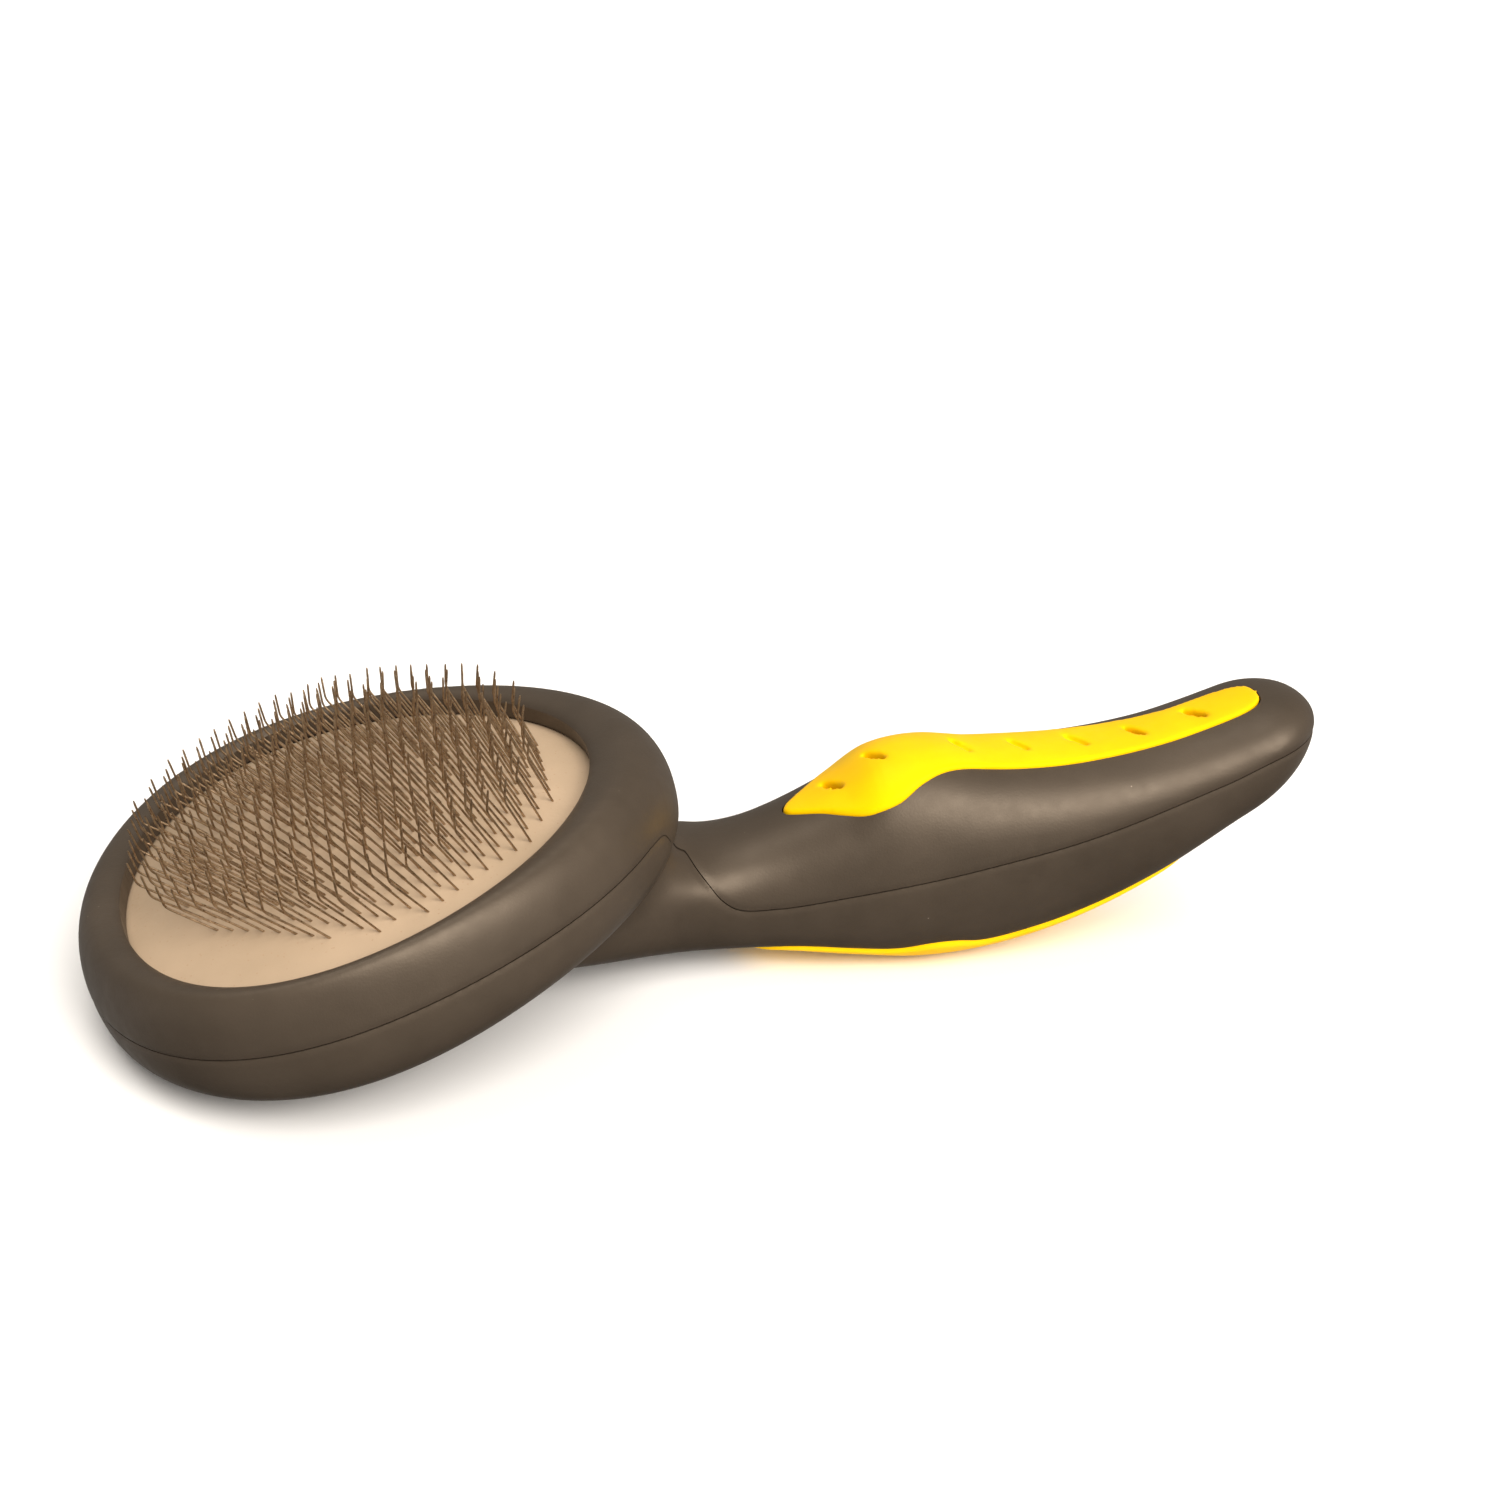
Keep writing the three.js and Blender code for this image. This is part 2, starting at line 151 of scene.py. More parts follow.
# Levels past the brush, where cutters end.
UNDER = -10
OVER = 60
ASIDE = 70
HIGH_OVER = 90.0

# The flat from which the head's room is later cut.
HEAD_FLOOR = -2.0

# Where the hollows of the neck fill up, and where that fades out again.
FILL_FADE_IN = (10, 32)
FILL_FADE_OUT = (58, 72)

# How finely the moulded shapes are made.
SHELL_VOXEL = 0.5
GRIP_VOXEL = 0.35
FILL_ROUNDS = 260
SHELL_ROUNDS = 8
SETTLE_ROUNDS = 6
GRIP_ROUNDS = 5
ROUNDS_PER_NORMALS = 10


def through(points):
    """A smooth curve through (x, value) points, as a function of an array of x."""
    xs = np.array([p[0] for p in points], float)
    ys = np.array([p[1] for p in points], float)
    slopes = np.empty(len(xs))
    slopes[1:-1] = (ys[2:] - ys[:-2]) / (xs[2:] - xs[:-2])
    slopes[0] = (ys[1] - ys[0]) / (xs[1] - xs[0])
    slopes[-1] = (ys[-1] - ys[-2]) / (xs[-1] - xs[-2])

    def at(x):
        x = np.asarray(x, float)
        i = np.clip(np.searchsorted(xs, x, side="left") - 1, 0, len(xs) - 2)
        span = xs[i + 1] - xs[i]
        u = np.clip((x - xs[i]) / span, 0, 1)
        blend = u * u * (3 - 2 * u)
        start = u * (1 - u) ** 2 * span * slopes[i]
        end = u * u * (u - 1) * span * slopes[i + 1]
        return ys[i] + (ys[i + 1] - ys[i]) * blend + start + end

    return at


top_at = through(TOP_LINE)
bottom_at = through(BOTTOM_LINE)
waist_at = through(WAIST_LINE)
width_at = through(WIDTH_LINE)


def spline(points, count):
    """count + 1 points of a Catmull-Rom curve through the given points."""
    p = np.array(points, float)
    last = len(p) - 1
    out = []
    for t in np.linspace(0, last, count + 1):
        i = min(int(t), last - 1)
        u = t - i
        a, b, c, d = p[max(i - 1, 0)], p[i], p[i + 1], p[min(i + 2, last)]
        v0, v1 = (c - a) / 2, (d - b) / 2
        out.append((2 * b - 2 * c + v0 + v1) * u**3 + (3 * c - 3 * b - 2 * v0 - v1) * u**2 + v0 * u + b)
    return np.array(out)


def quarter(start, end, steps, upright, power=2.0):
    """A quarter arc between two profile points, leaving along the height when upright."""
    t = np.linspace(0, math.pi / 2, steps + 1)
    slow = 1 - np.maximum(np.cos(t), 0) ** (2 / power)
    fast = np.sin(t) ** (2 / power)
    a, b = (slow, fast) if upright else (fast, slow)
    return [(start[0] + (end[0] - start[0]) * i, start[1] + (end[1] - start[1]) * j) for i, j in zip(a, b)]


def on_oval(a, angle):
    """The point of the head's plan at profile radius a in a direction."""
    c, s = np.cos(angle), np.sin(angle)
    within = np.minimum(a, OPENING_LONG) / OPENING_LONG
    end = np.where(c > 0, RIM_NECK, RIM_FRONT)
    rim = RIM_SIDE + (end - RIM_SIDE) * c * c
    beyond = np.maximum(a - OPENING_LONG, 0) / RIM_MEAN * rim
    ox, oy = c / OPENING_LONG, s / OPENING_WIDE
    size = np.hypot(ox, oy)
    x = within * OPENING_LONG * c + ox / size * beyond
    y = within * OPENING_WIDE * s * (1 - OPENING_TAPER * c) + oy / size * beyond
    return x, y


def on_head(points):
    """Head coordinates to brush coordinates."""
    p = np.asarray(points, float)
    c, s = math.cos(HEAD_TILT), math.sin(HEAD_TILT)
    return np.stack([p[:, 0] * c - p[:, 2] * s, p[:, 1], p[:, 0] * s + p[:, 2] * c + HEAD_HEIGHT], 1)


def laid(points):
    """Brush coordinates in mm to the frame in metres."""
    p = np.asarray(points, float)
    c, s = math.cos(LAY_TURN), math.sin(LAY_TURN)
    turned = np.stack([p[:, 0] * c + p[:, 2] * s, p[:, 1], p[:, 2] * c - p[:, 0] * s], 1)
    return (turned + LAY_SHIFT) * MM


def mesh_object(name, verts, faces):
    """An object with outward faces, in the scene."""
    mesh = bpy.data.meshes.new(name)
    mesh.from_pydata([tuple(v) for v in verts], [], faces)
    work = bmesh.new()
    work.from_mesh(mesh)
    bmesh.ops.recalc_face_normals(work, faces=work.faces)
    work.to_mesh(mesh)
    work.free()
    obj = bpy.data.objects.new(name, mesh)
    bpy.context.scene.collection.objects.link(obj)
    return obj


def ring_faces(rings, count):
    """Quads between neighbouring closed rings of count points each."""
    faces = []
    for r in range(rings - 1):
        for i in range(count):
            j = (i + 1) % count
            faces.append((r * count + i, r * count + j, (r + 1) * count + j, (r + 1) * count + i))
    return faces


def skin(name, rings, tips):
    """A closed solid over rings of equal count, fanned to a tip at each end."""
    count = len(rings[0])
    verts = np.concatenate([*rings, tips])
    faces = ring_faces(len(rings), count)
    first, last = len(verts) - 2, len(verts) - 1
    base = (len(rings) - 1) * count
    for i in range(count):
        j = (i + 1) % count
        faces.append((first, j, i))
        faces.append((last, base + i, base + j))
    return mesh_object(name, verts, faces)


def oval(name, profile, segments=240):
    """A closed solid of the head turned from a profile that starts and ends on the axis."""
    angles = np.linspace(0, 2 * math.pi, segments, endpoint=False)
    rings = []
    for a, n in profile[1:-1]:
        x, y = on_oval(np.full(segments, a), angles)
        rings.append(on_head(np.stack([x, y, np.full(segments, n)], 1)))
    tips = on_head([[0, 0, profile[0][1]], [0, 0, profile[-1][1]]])
    return skin(name, rings, tips)


def handle_body(name, inset, start, around=144, along=150):
    """The handle as a loft between its top, bottom and side lines, drawn in by inset."""
    end = HANDLE_END - inset
    u = np.linspace(0, 1, along + 1)[:-1]
    xs = start + (end - start) * np.sin(u * math.pi / 2) ** LOFT_EASE
    angles = np.linspace(0, 2 * math.pi, around, endpoint=False)
    c, s = np.cos(angles), np.sin(angles)
    out = np.abs(c) ** (2 / SECTION_POWER) * np.sign(c)
    rise = np.abs(s) ** (2 / SECTION_POWER) * np.sign(s)
    rings = []
    for x in xs:
        into = min(max((x - HANDLE_END + NOSE) / (end - HANDLE_END + NOSE), 0), 1)
        close = math.sqrt(1 - into * into)
        waist = float(waist_at(x))
        height = np.where(s > 0, float(top_at(x)) - waist - inset, waist - float(bottom_at(x)) - inset)
        wide = float(width_at(x)) - inset
        rings.append(np.stack([np.full(around, x), wide * out * close, waist + height * rise * close], 1))
    tips = np.array([[start, 0, float(waist_at(start))], [end, 0, float(waist_at(end))]])
    return skin(name, rings, tips)


def prism(name, outline, axis, low, high):
    """A closed prism over an outline. axis 1 stands it along Y over an (x, z) outline, axis 2 along Z."""
    flat = np.asarray(outline, float)
    count = len(flat)
    ends = []
    for level in (low, high):
        side = np.full(count, float(level))
        columns = (flat[:, 0], side, flat[:, 1]) if axis == 1 else (flat[:, 0], flat[:, 1], side)
        ends.append(np.stack(columns, 1))
    faces = ring_faces(2, count) + [tuple(range(count)), tuple(range(2 * count - 1, count - 1, -1))]
    return mesh_object(name, np.concatenate(ends), faces)


def bake(obj):
    """Applies an object's modifiers to its mesh."""
    graph = bpy.context.evaluated_depsgraph_get()
    made = bpy.data.meshes.new_from_object(obj.evaluated_get(graph))
    obj.modifiers.clear()
    old = obj.data
    obj.data = made
    bpy.data.meshes.remove(old)


def combine(obj, tool, how):
    """Joins, cuts or crops an object with a tool, which is used up."""
    mod = obj.modifiers.new("combine", "BOOLEAN")
    mod.operation = how
    mod.solver = "MANIFOLD"
    mod.object = tool
    bake(obj)
    bpy.data.objects.remove(tool)
    return obj


def twin(obj, name):
    copy = obj.copy()
    copy.data = obj.data.copy()
    copy.name = name
    bpy.context.scene.collection.objects.link(copy)
    return copy


def voxel(obj, size):
    """Remakes a solid as one even skin."""
    mod = obj.modifiers.new("voxel", "REMESH")
    mod.mode = "VOXEL"
    mod.voxel_size = size
    bake(obj)


def points_of(mesh):
    co = np.empty(len(mesh.vertices) * 3)
    mesh.vertices.foreach_get("co", co)
    return co.reshape(-1, 3)


def put_points(mesh, co):
    mesh.vertices.foreach_set("co", co.ravel())
    mesh.update()


def normals_of(mesh):
    n = np.empty(len(mesh.vertices) * 3)
    mesh.vertex_normals.foreach_get("vector", n)
    return n.reshape(-1, 3)


def relax(mesh, rounds, weight=1.0, fill=False):
    """Draws each point towards the middle of its neighbours. fill moves it only outwards, into hollows."""
    edges = np.empty(len(mesh.edges) * 2, int)
    mesh.edges.foreach_get("vertices", edges)
    a, b = edges.reshape(-1, 2).T
    co = points_of(mesh)
    count = len(co)
    degree = np.bincount(a, minlength=count) + np.bincount(b, minlength=count)
    weight = np.broadcast_to(np.asarray(weight, float), (count,))[:, None]
    for turn in range(rounds):
        if fill and turn % ROUNDS_PER_NORMALS == 0:
            put_points(mesh, co)
            normals = normals_of(mesh)
        mean = np.stack([
            np.bincount(a, co[b, k], count) + np.bincount(b, co[a, k], count) for k in range(3)], 1)
        step = mean / degree[:, None] - co
        if fill:
            rise = np.sum(step * normals, 1, keepdims=True)
            step = np.maximum(rise, 0) * normals
        co = co + 0.5 * weight * step
    put_points(mesh, co)


def smooth_step(x, low, high):
    """Rises smoothly from 0 at low to 1 at high."""
    t = np.clip((x - low) / (high - low), 0, 1)
    return t * t * (3 - 2 * t)


def seam_line():
    """The seam between the two shells in the brush's side view, from the head's front to past the nose."""
    far = -RIM_MEAN - OPENING_LONG - 10
    start = [(far, HEAD_HEIGHT + far * math.tan(HEAD_TILT) + HEAD_SPLIT / math.cos(HEAD_TILT))]
    neck = [tuple(p) for p in spline(NECK_SEAM, 60)]
    xs = np.arange(SEAM_HANDLE_FROM, HANDLE_END, 2.0)
    handle = list(zip(xs, waist_at(xs)))
    return np.array(start + neck + handle + [(HANDLE_END + 5, float(waist_at(HANDLE_END)))])


def distance_to_line(x, z, line):
    """How far points of the side view are from a line of straight steps."""
    best = np.full(len(x), 1e9)
    for (x0, z0), (x1, z1) in zip(line[:-1], line[1:]):
        dx, dz = x1 - x0, z1 - z0
        t = np.clip(((x - x0) * dx + (z - z0) * dz) / (dx * dx + dz * dz), 0, 1)
        best = np.minimum(best, np.hypot(x - x0 - t * dx, z - z0 - t * dz))
    return best


def above_seam(name, lift):
    """A block that holds all that is above the lifted seam."""
    line = seam_line() + (0, lift)
    close = [(line[-1][0], HIGH_OVER), (line[0][0], HIGH_OVER)]
    return prism(name, np.concatenate([line, close]), 1, -ASIDE, ASIDE)


def plan_prism(name, outline, margin):
    """An upright prism over a grip's outline, grown by margin."""
    first, last = outline[0][0], outline[-1][0]
    middle = (first + last) / 2
    grown = [(middle + (x - middle) * (1 + 2 * margin / (last - first)), y + margin if y > 0 else 0)
             for x, y in outline]
    side = spline(grown, 90)
    mirrored = side[1:-1][::-1] * (1, -1)
    return prism(name, np.concatenate([side, mirrored]), 2, UNDER, OVER)


def slot_cutter(x, low):
    """A slim lens-shaped cutter, slanting across the handle, that reaches down to a height."""
    half = SLOT_LENGTH / 2
    across = np.linspace(-half, half, 25)
    middle = x - SLOT_SLANT * across
    wide = SLOT_WIDTH / 2 * (1 - (across / half) ** 2)
    front = np.stack([middle + wide, across], 1)
    back = np.stack([middle - wide, across], 1)[1:-1][::-1]
    return prism("slot", np.concatenate([front, back]), 2, low, OVER)


# ---------------------------------------------------------------- shells

rim_out = OPENING_LONG + RIM_MEAN
crest_at = OPENING_LONG + RIM_MEAN * CREST_SHARE
profile = (
    [(0, HEAD_FLOOR), (OPENING_LONG - LIP_IN, HEAD_FLOOR)]
    + quarter((OPENING_LONG - LIP_IN, 0), (crest_at, RIM_CREST), 10, True)
    + quarter((crest_at, RIM_CREST), (rim_out, HEAD_SPLIT), 24, False)[1:]
    + quarter((rim_out, HEAD_SPLIT), (0, HEAD_DEPTH), 44, True, BOWL_POWER)[1:]
)
body = oval("body", profile)
combine(body, handle_body("handle_core", 0, HANDLE_START), "UNION")
voxel(body, SHELL_VOXEL)
relax(body.data, SHELL_ROUNDS)

# The crease between the head's bowl and the handle fills up to a smooth neck.
along = points_of(body.data)[:, 0]
neck = smooth_step(along, *FILL_FADE_IN) * (1 - smooth_step(along, *FILL_FADE_OUT))
relax(body.data, FILL_ROUNDS, neck, fill=True)
relax(body.data, SETTLE_ROUNDS, neck)

# A shallow dip along the seam rounds the two shells' meeting edges.
co = points_of(body.data)
away = distance_to_line(co[:, 0], co[:, 2], seam_line())
co -= normals_of(body.data) * (SHOULDER_DEPTH * np.exp(-((away / SHOULDER_WIDTH) ** 2)))[:, None]
put_points(body.data, co)

# The room for the pad, and the space in the handle.
pocket = OPENING_LONG + TUCK + 2 * GAP
lip = -PAD_RECESS + GAP
shelf = CUSHION_BASE - GAP - PLATE_THICK - GAP
room_profile = (
    [(0, RIM_CREST + 5), (OPENING_LONG, RIM_CREST + 5), (OPENING_LONG, lip), (pocket, lip), (pocket, shelf),
     (pocket - LEDGE, shelf)]
    + quarter((pocket - LEDGE, shelf - LEDGE), (0, HEAD_DEPTH + WALL), 12, True, BOWL_POWER)
)
combine(body, oval("room", room_profile), "DIFFERENCE")
combine(body, handle_body("hollow", WALL + GRIP_DEPTH, HOLLOW_START, 48, 50), "DIFFERENCE")


def grip_pocket(name, outline):
    """A cutter for the recess that a grip sits in."""
    tool = plan_prism(name, outline, POCKET_MARGIN)
    return combine(tool, handle_body(name + "_core", GRIP_DEPTH + GAP, HANDLE_START), "DIFFERENCE")


back = twin(body, "back_case")
front = body
front.name = "front_case"
combine(front, above_seam("upper", SEAM_GAP / 2), "INTERSECT")
combine(front, grip_pocket("finger_pocket", FINGER_OUTLINE), "DIFFERENCE")
combine(back, above_seam("lower", -SEAM_GAP / 2), "DIFFERENCE")
combine(back, grip_pocket("thumb_pocket", THUMB_OUTLINE), "DIFFERENCE")

# ---------------------------------------------------------------- grips


def grip(name, outline, how):
    """A layer of the handle's skin inside an outline, on one side of the seam, with rounded edges."""
    made = handle_body(name, -GRIP_PROUD, HANDLE_START)
    combine(made, handle_body(name + "_inside", GRIP_DEPTH, HANDLE_START), "DIFFERENCE")
    combine(made, plan_prism(name + "_outline", outline, 0), "INTERSECT")
    combine(made, above_seam(name + "_side", GAP / 2 if how == "INTERSECT" else -GAP / 2), how)
    return made


finger = grip("finger_rubber", FINGER_OUTLINE, "INTERSECT")
for slot_x in SLOTS:
    shallow = slot_x in SHALLOW_SLOTS
    low = float(top_at(slot_x)) - SHALLOW_SLOT_DEPTH if shallow else UNDER
    combine(finger, slot_cutter(slot_x, low), "DIFFERENCE")
thumb = grip("thumb_rubber", THUMB_OUTLINE, "DIFFERENCE")
for piece in (finger, thumb):
    voxel(piece, GRIP_VOXEL)
    relax(piece.data, GRIP_ROUNDS)

# ---------------------------------------------------------------- head inside


def crown_at(reach):
    """The pad's face above the rim plane, reach being 1 at the opening's edge."""
    return PAD_CROWN * (1 - reach * reach) - PAD_RECESS


def dome(drop, steps):
    """Profile points along the pad's face, lowered by drop."""
    return [(a, crown_at(a / OPENING_LONG) - drop) for a in np.linspace(0, OPENING_LONG + TUCK, steps)]


pad = oval("pad_sheet", dome(0, 70) + dome(PAD_THICK, 16)[::-1], 220)
foam_edge = OPENING_LONG + TUCK
foam_height = crown_at(foam_edge / OPENING_LONG) - PAD_THICK - GAP - CUSHION_BASE
foam_side = [(foam_edge - FOAM_BULGE * math.sin(t * math.pi), CUSHION_BASE + (1 - t) * foam_height)
             for t in np.linspace(0.1, 0.9, 7)]
foam_base = [(a, CUSHION_BASE) for a in np.linspace(foam_edge - FOAM_BASE_IN, 0, 12)]
cushion = oval("pad_foam", dome(PAD_THICK + GAP, 40) + foam_side + foam_base, 200)

# ---------------------------------------------------------------- wires


def row_layout():
    """Each row's place and its wires, stepped evenly, with every second row moved half a step."""
    rows = []
    for i in range(ROW_COUNT):
        start = (i - (ROW_COUNT - 1) / 2) * ROW_PITCH
        half = FIELD_WIDE * math.sqrt(1 - (start / FIELD_LONG) ** 2)
        offset = WIRE_PITCH / 2 if i % 2 else 0
        each = math.floor((half - offset) / WIRE_PITCH)
        steps = [offset + k * WIRE_PITCH for k in range(each + 1)]
        rows.append((FIELD_CENTRE + start, sorted([-y for y in steps if y > 0] + steps)))
    return rows


def wire_path(x, y, rng):
    """The centre line of one wire: out of the pad leaning back, round its knee, and on to its tip."""
    across = y / (OPENING_WIDE * (1 - OPENING_TAPER * x / OPENING_LONG))
    surface = np.array([x, y, crown_at(math.hypot(x / OPENING_LONG, across))])
    normal = np.array([2 * PAD_CROWN * x / OPENING_LONG**2, 2 * PAD_CROWN * y / OPENING_WIDE**2, 1.0])
    normal /= np.linalg.norm(normal)
    along = np.array([1.0, 0, 0]) - normal[0] * normal
    along /= np.linalg.norm(along)
    side = np.cross(normal, along)

    def lean(angle, sway):
        """A direction that leans along the head by an angle and sideways by a share."""
        way = normal * math.cos(angle) + along * math.sin(angle) + side * sway
        return way / np.linalg.norm(way)

    wobble = rng.normal(0, 1, 4)
    back = lean(-math.radians(WIRE_BACK - WIRE_FAN * x + SPREAD_BACK * wobble[0]), SWAY_BACK * wobble[1])
    upward = lean(math.radians(WIRE_FORWARD + SPREAD_FORWARD * wobble[2]), SWAY_FORWARD * wobble[3])
    knee = surface + back * WIRE_LOWER
    tip = knee + upward * (WIRE_UPPER * (1 + SPREAD_LENGTH * wobble[0]))
    below, above = knee - back * KNEE_BEND, knee + upward * KNEE_BEND
    path = [surface - back * WIRE_ROOT, surface + back * (WIRE_LOWER / 2), below]
    path += [(1 - t) ** 2 * below + 2 * t * (1 - t) * knee + t * t * above for t in (0.25, 0.5, 0.75)]
    path += [above, tip - upward * TIP_LENGTH, tip]
    return np.array(path)


def wire_row(name, x, ys, seed):
    """One row's round wires as a single mesh."""
    rng = np.random.default_rng(seed)
    verts, faces = [], []
    turns = np.linspace(0, 2 * math.pi, WIRE_SIDES, endpoint=False)
    for y in ys:
        path = wire_path(x, y, rng)
        ways = np.gradient(path, axis=0)
        ways /= np.linalg.norm(ways, axis=1)[:, None]
        base = len(verts)
        for i, (p, way) in enumerate(zip(path, ways)):
            u = np.cross(way, (0, 1, 0))
            u /= np.linalg.norm(u)
            v = np.cross(way, u)
            radius = WIRE_RADIUS * (TIP_SHARE if i == len(path) - 1 else 1)
            verts += [p + radius * (math.cos(t) * u + math.sin(t) * v) for t in turns]
        rings = len(path)
        faces += [tuple(base + k for k in f) for f in ring_faces(rings, WIRE_SIDES)]
        faces.append(tuple(base + k for k in range(WIRE_SIDES)))
        faces.append(tuple(base + (rings - 1) * WIRE_SIDES + k for k in reversed(range(WIRE_SIDES))))
    return mesh_object(name, on_head(np.array(verts)), faces)


wires = []
for i, (row_x, row_ys) in enumerate(row_layout()):
    wires.append(wire_row(f"wires_{i + 1:02d}", row_x, row_ys, FIRST_SEED + i))

# ---------------------------------------------------------------- materials


class Nodes:
    """Adds and joins shader nodes in one tree. Sources are sockets or plain values."""

    def __init__(self, tree, place="Object"):
        self.tree = tree
        self.place = tree.nodes.new("ShaderNodeTexCoord").outputs[place]

    def join(self, source, target):
        if isinstance(source, bpy.types.NodeSocket):
            self.tree.links.new(source, target)
        else:
            target.default_value = source

    def noise(self, scale, detail=3.0, rough=0.55):
        node = self.tree.nodes.new("ShaderNodeTexNoise")
        node.inputs["Scale"].default_value = scale
        node.inputs["Detail"].default_value = detail
        node.inputs["Roughness"].default_value = rough
        self.join(self.place, node.inputs["Vector"])
        return node.outputs["Fac"]

    def cells(self, scale):
        node = self.tree.nodes.new("ShaderNodeTexVoronoi")
        node.inputs["Scale"].default_value = scale
        self.join(self.place, node.inputs["Vector"])
        return node.outputs["Distance"]

    def ramp(self, value, stops):
        node = self.tree.nodes.new("ShaderNodeValToRGB")
        while len(node.color_ramp.elements) < len(stops):
            node.color_ramp.elements.new(0.5)
        for element, (at, colour) in zip(node.color_ramp.elements, stops):
            element.position = at
            element.color = (*colour, 1)
        self.join(value, node.inputs["Fac"])
        return node.outputs["Color"]

    def span(self, value, low, high, out_low, out_high):
        node = self.tree.nodes.new("ShaderNodeMapRange")
        for socket, number in zip(node.inputs[1:5], (low, high, out_low, out_high)):
            socket.default_value = number
        self.join(value, node.inputs[0])
        return node.outputs[0]

    def mix(self, factor, tone, other):
        """A tone that turns to another plain colour as the factor rises."""
        node = self.tree.nodes.new("ShaderNodeMix")
        node.data_type = "RGBA"
        self.join(factor, node.inputs["Factor"])
        self.join(tone, node.inputs[6])
        self.join((*other, 1), node.inputs[7])
        return node.outputs[2]

    def calculate(self, operation, *sources):
        node = self.tree.nodes.new("ShaderNodeMath")
        node.operation = operation
        for source, socket in zip(sources, node.inputs):
            self.join(source, socket)
        return node.outputs[0]


class Surface(Nodes):
    """A new material's nodes, with its main shader."""

    def __init__(self, name):
        self.material = bpy.data.materials.new(name)
        self.material.use_nodes = True
        super().__init__(self.material.node_tree)
        self.shader = self.tree.nodes["Principled BSDF"]

    def bump(self, heights):
        """Bumps from (height, strength, distance) in turn, finest last."""
        normal = None
        for height, strength, distance in heights:
            node = self.tree.nodes.new("ShaderNodeBump")
            self.join(strength, node.inputs["Strength"])
            self.join(distance, node.inputs["Distance"])
            self.join(height, node.inputs["Height"])
            if normal is not None:
                self.join(normal, node.inputs["Normal"])
            normal = node.outputs["Normal"]
        self.join(normal, self.shader.inputs["Normal"])

    def set(self, **sources):
        for name, source in sources.items():
            self.join(source, self.shader.inputs[name.replace("_", " ")])


# Noise and cell scales are per metre, and bump distances in metres.


def moulded_plastic(name):
    """Dark warm grey soft-touch plastic: fine grain, faint mottling and a few pale specks of dust."""
    n = Surface(name)
    mottle = n.ramp(n.noise(60, 4), [(0.3, (0.037, 0.0275, 0.0195)), (0.7, (0.050, 0.0375, 0.0270))])
    specks = n.span(n.cells(420), 0.03, 0.07, 1, 0)
    rare = n.span(n.noise(230, 1), 0.66, 0.70, 0, 1)
    dust = n.calculate("MULTIPLY", specks, rare)
    n.set(Base_Color=n.mix(dust, mottle, (0.30, 0.25, 0.20)))
    n.set(Roughness=n.span(n.noise(350, 3), 0.3, 0.7, 0.42, 0.50))
    n.set(IOR=1.5, Specular_IOR_Level=0.6, Specular_Tint=(1.0, 0.84, 0.68, 1))
    n.bump([(n.noise(90, 2), 0.12, 0.0006), (n.noise(2600, 2), 0.16, 0.00012)])
    return n.material


def rubber(name):
    """Satin yellow rubber with a faint grain and slightly deeper patches."""
    n = Surface(name)
    tone = n.ramp(n.noise(110, 4), [(0.3, (0.90, 0.50, 0.001)), (0.7, (0.95, 0.58, 0.001))])
    n.set(Base_Color=tone)
    n.set(Roughness=n.span(n.noise(500, 3), 0.3, 0.7, 0.40, 0.50))
    n.set(Specular_IOR_Level=0.4, Specular_Tint=(1.0, 0.8, 0.05, 1))
    n.bump([(n.noise(160, 2), 0.10, 0.0005), (n.noise(3000, 2), 0.12, 0.0001)])
    return n.material


def pad_rubber(name):
    """Beige pad sheet: smooth, with fine darker specks."""
    n = Surface(name)
    tone = n.ramp(n.noise(75, 3), [(0.3, (0.41, 0.305, 0.205)), (0.7, (0.47, 0.35, 0.24))])
    specks = n.span(n.cells(900), 0.05, 0.16, 1, 0)
    n.set(Base_Color=n.mix(specks, tone, (0.40, 0.27, 0.17)))
    n.set(Roughness=n.span(n.noise(600, 3), 0.3, 0.7, 0.55, 0.68))
    n.set(Specular_IOR_Level=0.35)
    n.bump([(n.noise(1400, 3), 0.22, 0.00015)])
    return n.material


def foam(name):
    """Grey open-cell foam."""
    n = Surface(name)
    cells = n.cells(1500)
    n.set(Base_Color=n.ramp(cells, [(0.0, (0.16, 0.145, 0.125)), (0.6, (0.32, 0.29, 0.25))]))
    n.set(Roughness=0.95)
    n.bump([(cells, 0.6, 0.0004)])
    return n.material


def hard_plate(name):
    """Dark hard plastic with faint flow marks."""
    n = Surface(name)
    n.set(Base_Color=n.ramp(n.noise(120, 5), [(0.3, (0.030, 0.025, 0.020)), (0.7, (0.045, 0.038, 0.031))]))
    n.set(Roughness=n.span(n.noise(300, 3), 0.3, 0.7, 0.5, 0.65))
    n.bump([(n.noise(900, 3), 0.15, 0.0001)])
    return n.material


def steel_wire(name):
    """Drawn steel wire, warm with age, with fine streaks of tarnish."""
    n = Surface(name)
    n.set(Base_Color=n.ramp(n.noise(900, 4, 0.65), [(0.3, (0.20, 0.135, 0.08)), (0.7, (0.50, 0.36, 0.23))]))
    n.set(Metallic=0.9)
    n.set(Roughness=n.span(n.noise(1500, 3), 0.3, 0.7, 0.24, 0.42))
    n.bump([(n.noise(4000, 2), 0.15, 0.00005)])
    return n.material


SHELL_LOOK = moulded_plastic("soft_touch_plastic")
RUBBER_LOOK = rubber("yellow_rubber")
PAD_LOOK = pad_rubber("beige_pad")
FOAM_LOOK = foam("grey_foam")
PLATE_LOOK = hard_plate("dark_plate")
WIRE_LOOK = steel_wire("warm_steel")

# ---------------------------------------------------------------- pieces


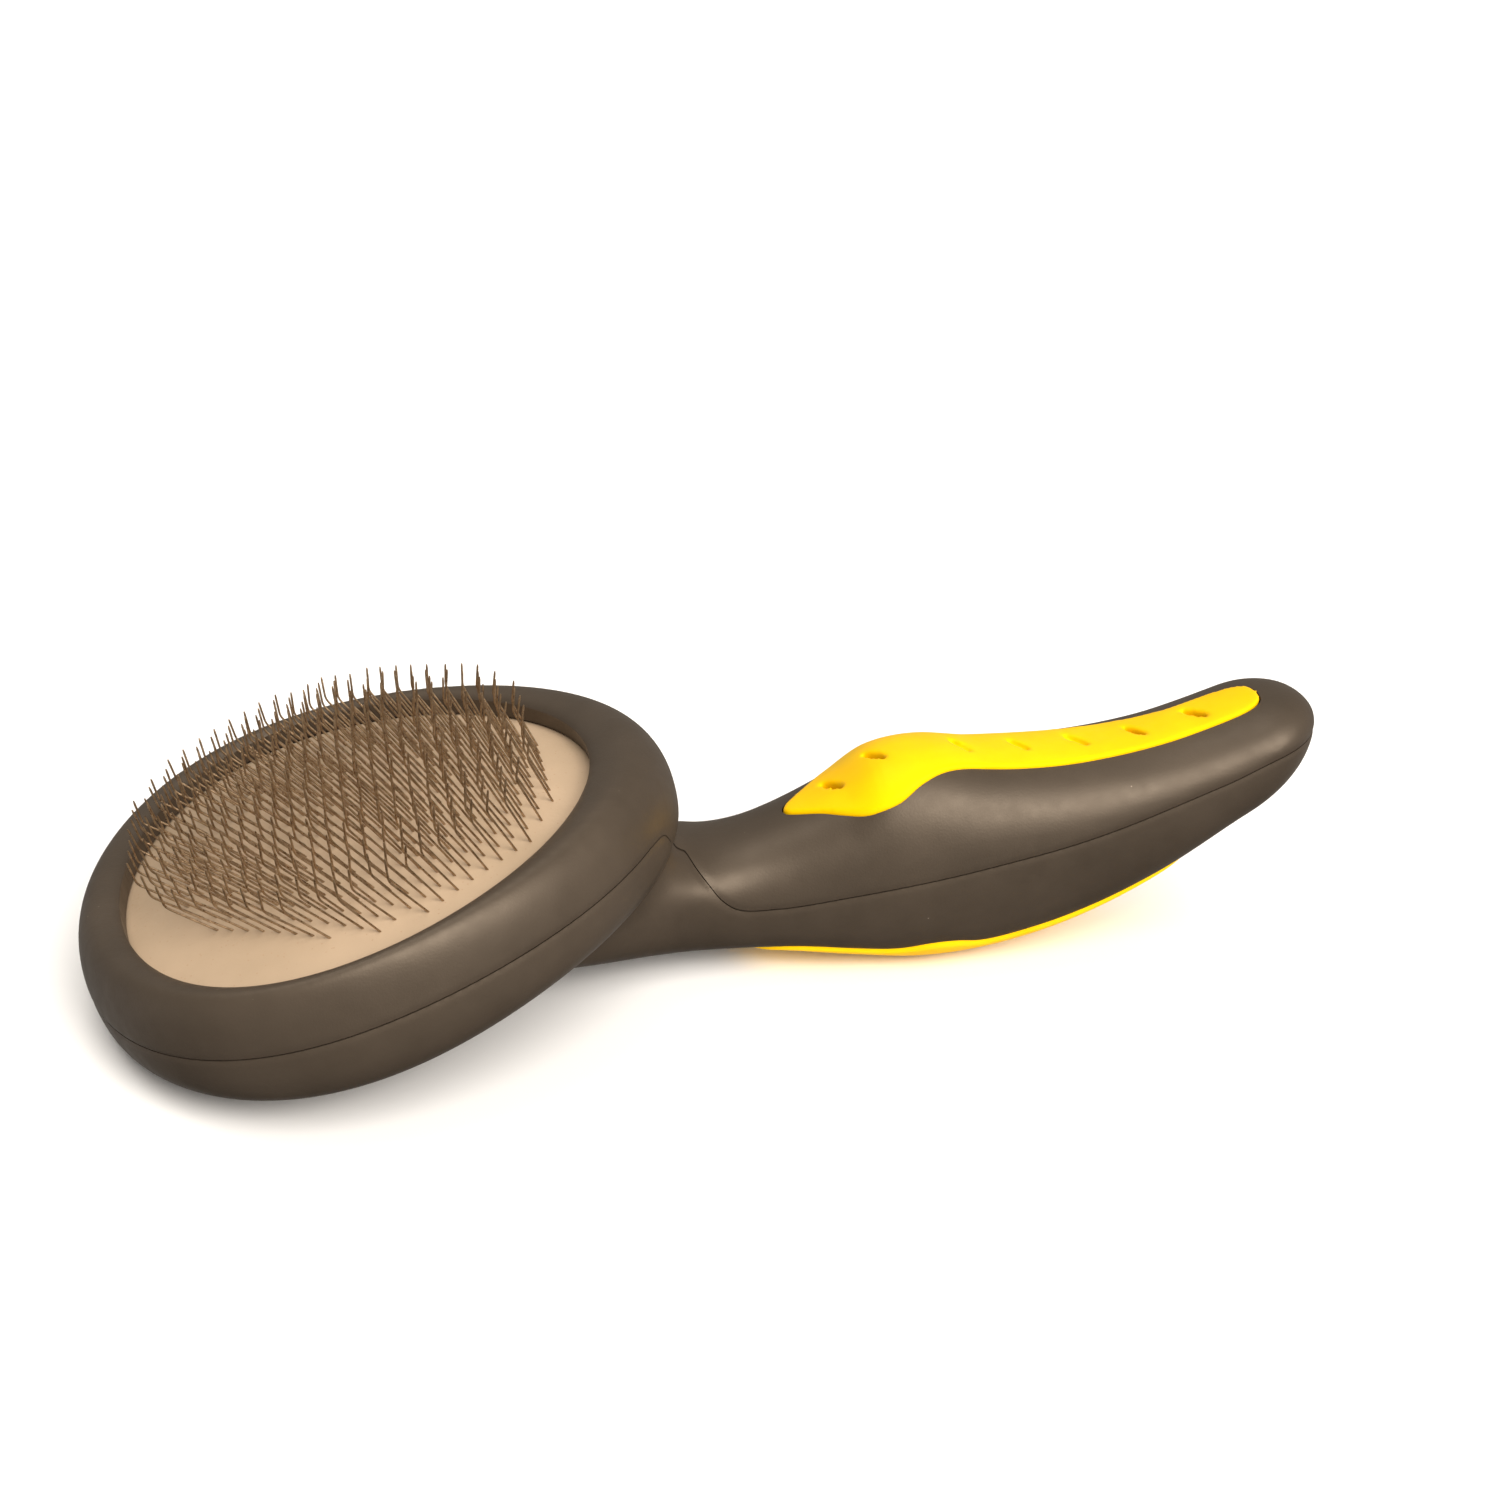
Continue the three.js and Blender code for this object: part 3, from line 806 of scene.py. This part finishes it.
def finished(obj, look, slot_name, *nodes, sharp=38.0):
    """Puts a shape in the frame in metres, shades it, hangs it from the root body and hides the CAD parts it
    replaces.
    """
    put_points(obj.data, laid(points_of(obj.data)))
    obj.data.materials.clear()
    obj.data.materials.append(look)
    obj.data.shade_smooth()
    obj.data.set_sharp_from_angle(angle=math.radians(sharp))
    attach(obj, "root")
    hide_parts(*nodes)


finished(front, SHELL_LOOK, "shell", "front_shell")
finished(back, SHELL_LOOK, "shell", "back_shell")
finished(finger, RUBBER_LOOK, "grip", "finger_grip", sharp=60)
finished(thumb, RUBBER_LOOK, "grip", "thumb_grip", sharp=60)
finished(pad, PAD_LOOK, "pad_sheet", "pin_pad")
finished(cushion, FOAM_LOOK, "cushion", "pad_cushion")
for i, row in enumerate(wires):
    finished(row, WIRE_LOOK, "wire", f"pin_row_{i + 1:02d}", sharp=50)

for plate_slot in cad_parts["backing_plate"].material_slots:
    plate_slot.material = PLATE_LOOK

# ---------------------------------------------------------------- stage, light and camera

FLOOR_HALF = 40.0
corners = [(-FLOOR_HALF, -FLOOR_HALF, 0), (FLOOR_HALF, -FLOOR_HALF, 0),
           (FLOOR_HALF, FLOOR_HALF, 0), (-FLOOR_HALF, FLOOR_HALF, 0)]
floor = mesh_object("floor", corners, [(0, 1, 2, 3)])
paint = Surface("pale_floor")
paint.set(Base_Color=(0.90, 0.91, 0.93, 1), Roughness=0.9, Specular_IOR_Level=0.1)
floor.data.materials.append(paint.material)
floor.visible_glossy = False

# A soft dome that also gives the reflections: dark below in front, paler low down behind.
DOME_BACK = 0.9
DOME = [(0.25, (0.03, 0.028, 0.025)), (0.42, (0.50, 0.46, 0.42)), (0.60, (0.34, 0.32, 0.30)),
        (1.0, (0.34, 0.32, 0.29))]
world = bpy.data.worlds.new("studio")
bpy.context.scene.world = world
world.use_nodes = True
sky = Nodes(world.node_tree, "Generated")
split = sky.tree.nodes.new("ShaderNodeSeparateXYZ")
sky.join(sky.place, split.inputs[0])
behind = sky.calculate("MAXIMUM", split.outputs["Y"], 0.0)
level = sky.calculate("MULTIPLY_ADD", behind, DOME_BACK, split.outputs["Z"])
background = sky.tree.nodes["Background"]
sky.join(sky.ramp(sky.span(level, -1, 1, 0, 1), DOME), background.inputs["Color"])
sky.join(1.0, background.inputs["Strength"])


def sun(name, place, power, colour, spread):
    """A soft sun that shines from a place towards the brush, spread over an angle in degrees."""
    data = bpy.data.lights.new(name, "SUN")
    data.angle = math.radians(spread)
    data.energy = power
    data.color = colour
    made = bpy.data.objects.new(name, data)
    made.location = place
    made.rotation_euler = (-Vector(place)).to_track_quat("-Z", "Y").to_euler()
    bpy.context.scene.collection.objects.link(made)


WARM = (1, 0.94, 0.86)
sun("front_high", (0.12, -0.60, 0.80), 2.7, WARM, 40)
sun("right_front", (0.45, -0.74, 0.50), 2.3, (1, 0.93, 0.84), 34)
sun("overhead", (-0.25, 0.2, 1.0), 1.0, WARM, 40)

bpy.context.scene.view_settings.view_transform = "Standard"

# The camera stands in front, to the left and above. Its turn, tilt and roll are in degrees.
CAMERA_PLACE = (-0.063486, -0.279544, 0.174665)
CAMERA_TURN = -13.5566
CAMERA_TILT = 64.4823
CAMERA_ROLL = 3.1252
camera_data = bpy.data.cameras.new("photo_camera")
camera_data.lens = 48.343
camera_data.sensor_width = 36.0
camera_data.sensor_fit = "HORIZONTAL"
camera_data.clip_start = 0.01
camera = bpy.data.objects.new("photo_camera", camera_data)
turn = Matrix.Rotation(math.radians(CAMERA_TURN), 4, "Z")
tilt = Matrix.Rotation(math.radians(CAMERA_TILT), 4, "X")
roll = Matrix.Rotation(math.radians(CAMERA_ROLL), 4, "Z")
camera.matrix_world = Matrix.Translation(CAMERA_PLACE) @ turn @ tilt @ roll
bpy.context.scene.collection.objects.link(camera)
bpy.context.scene.camera = camera
